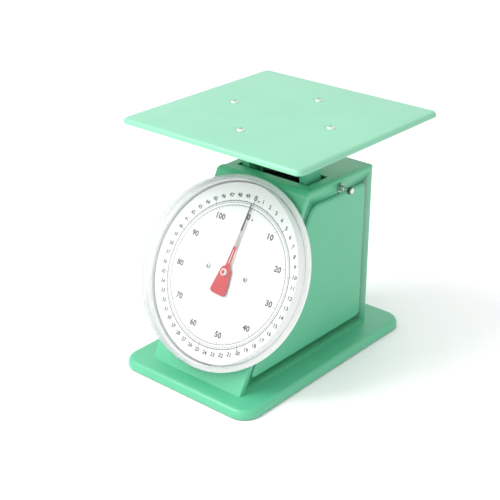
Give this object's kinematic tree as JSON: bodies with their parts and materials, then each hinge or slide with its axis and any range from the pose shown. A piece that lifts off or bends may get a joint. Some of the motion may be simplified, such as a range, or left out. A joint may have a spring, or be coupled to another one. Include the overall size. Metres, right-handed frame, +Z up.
{
  "type": "mechanical dial platform scale",
  "caption": "Counter scale with a flat square weighing platform on sprung legs, a sloping round dial with a coupled pointer, and a side knob that sets zero.",
  "frame": {"origin": "on the floor under the middle of the base plate", "axes": "+Z up, the dial faces -Y, +X is the side with the zero knob"},
  "size_m": [0.253, 0.3, 0.2878],
  "materials": {
    "mint_paint": "gloss",
    "zinc_plate": "satin",
    "bare_steel": "satin",
    "brass": "satin",
    "black_rubber": "matte",
    "clear_plastic": "gloss",
    "white_dial": "satin",
    "red_paint": "gloss",
    "white_plastic": "gloss"
  },
  "bodies": {
    "stand": {"base_plate": "mint_paint", "rubber_feet": "black_rubber", "casing": "mint_paint", "front_panel": "mint_paint", "rear_panel": "mint_paint", "rear_screws": "zinc_plate", "casing_screws": "zinc_plate", "frame_plate_left": "bare_steel", "frame_plate_right": "bare_steel", "frame_screws": "zinc_plate", "spring_hanger": "bare_steel", "hanger_studs": "zinc_plate", "hanger_nuts": "zinc_plate", "overload_stop": "zinc_plate", "stop_buffer": "black_rubber", "upper_pivot_rod": "zinc_plate", "lower_pivot_rod": "zinc_plate", "pivot_clips": "bare_steel", "dial_pan": "white_dial", "dial_face": "white_dial", "dial_screws": "zinc_plate", "dial_cover": "clear_plastic", "movement_front_plate": "brass", "movement_back_plate": "brass", "movement_pillars": "brass", "movement_spacers": "brass", "movement_screws": "zinc_plate", "arbor_bushes": "brass", "rack_guide": "brass", "zero_bush": "zinc_plate", "zero_nut": "zinc_plate", "spring_left": "bare_steel", "spring_right": "bare_steel"},
    "platform_set": {"platform": "mint_paint", "platform_screws": "zinc_plate", "platform_nuts": "zinc_plate", "spider": "mint_paint", "carrier": "mint_paint", "carrier_rivets": "zinc_plate", "carrier_crossbar": "bare_steel", "carrier_studs": "zinc_plate", "carrier_pins": "zinc_plate", "rack_yoke": "bare_steel", "yoke_rivets": "zinc_plate"},
    "upper_arm": {"upper_lever": "bare_steel"},
    "lower_arm": {"lower_lever": "bare_steel"},
    "rack_set": {"rack": "bare_steel", "rack_pin": "zinc_plate"},
    "pointer_set": {"pinion": "brass", "arbor": "bare_steel", "pointer_hub": "white_plastic", "pointer": "red_paint"},
    "zero_set": {"zero_spindle": "bare_steel", "zero_cam": "brass", "zero_knob": "zinc_plate"}
  },
  "joints": [
    {"name": "platform_travel", "type": "slide", "parent": "stand", "child": "platform_set", "axis": [0, 0, -1], "range_m": [0, 0.02198], "stiffness_N_per_m": 22300, "springref_m": -0.0012, "deforming": ["spring_left", "spring_right"]},
    {"name": "upper_lever_swing", "type": "hinge", "parent": "stand", "child": "upper_arm", "pos_m": [0, 0.095, 0.165], "axis": [1, 0, 0], "range_deg": [0, 17.34]},
    {"name": "lower_lever_swing", "type": "hinge", "parent": "stand", "child": "lower_arm", "pos_m": [0, 0.095, 0.07], "axis": [1, 0, 0], "range_deg": [0, 17.34]},
    {"name": "rack_slide", "type": "slide", "parent": "stand", "child": "rack_set", "axis": [0, -0.4848, -0.8746], "range_m": [0, 0.02513]},
    {"name": "pointer_turn", "type": "hinge", "parent": "stand", "child": "pointer_set", "pos_m": [0, -0.07644, 0.125], "axis": [0, 0.8746, -0.4848], "range_deg": [0, 360]},
    {"name": "zero_turn", "type": "hinge", "parent": "stand", "child": "zero_set", "pos_m": [0.06, 0.046, 0.207], "axis": [1, 0, 0], "range_deg": [-180, 180]}
  ],
  "couplings": [
    {"joint": "upper_lever_swing", "follows": "platform_travel", "rad_per_m": 13.751},
    {"joint": "lower_lever_swing", "follows": "platform_travel", "rad_per_m": 13.751},
    {"joint": "rack_slide", "follows": "platform_travel", "ratio": 1.1434},
    {"joint": "pointer_turn", "follows": "platform_travel", "rad_per_m": 285.84}
  ]
}
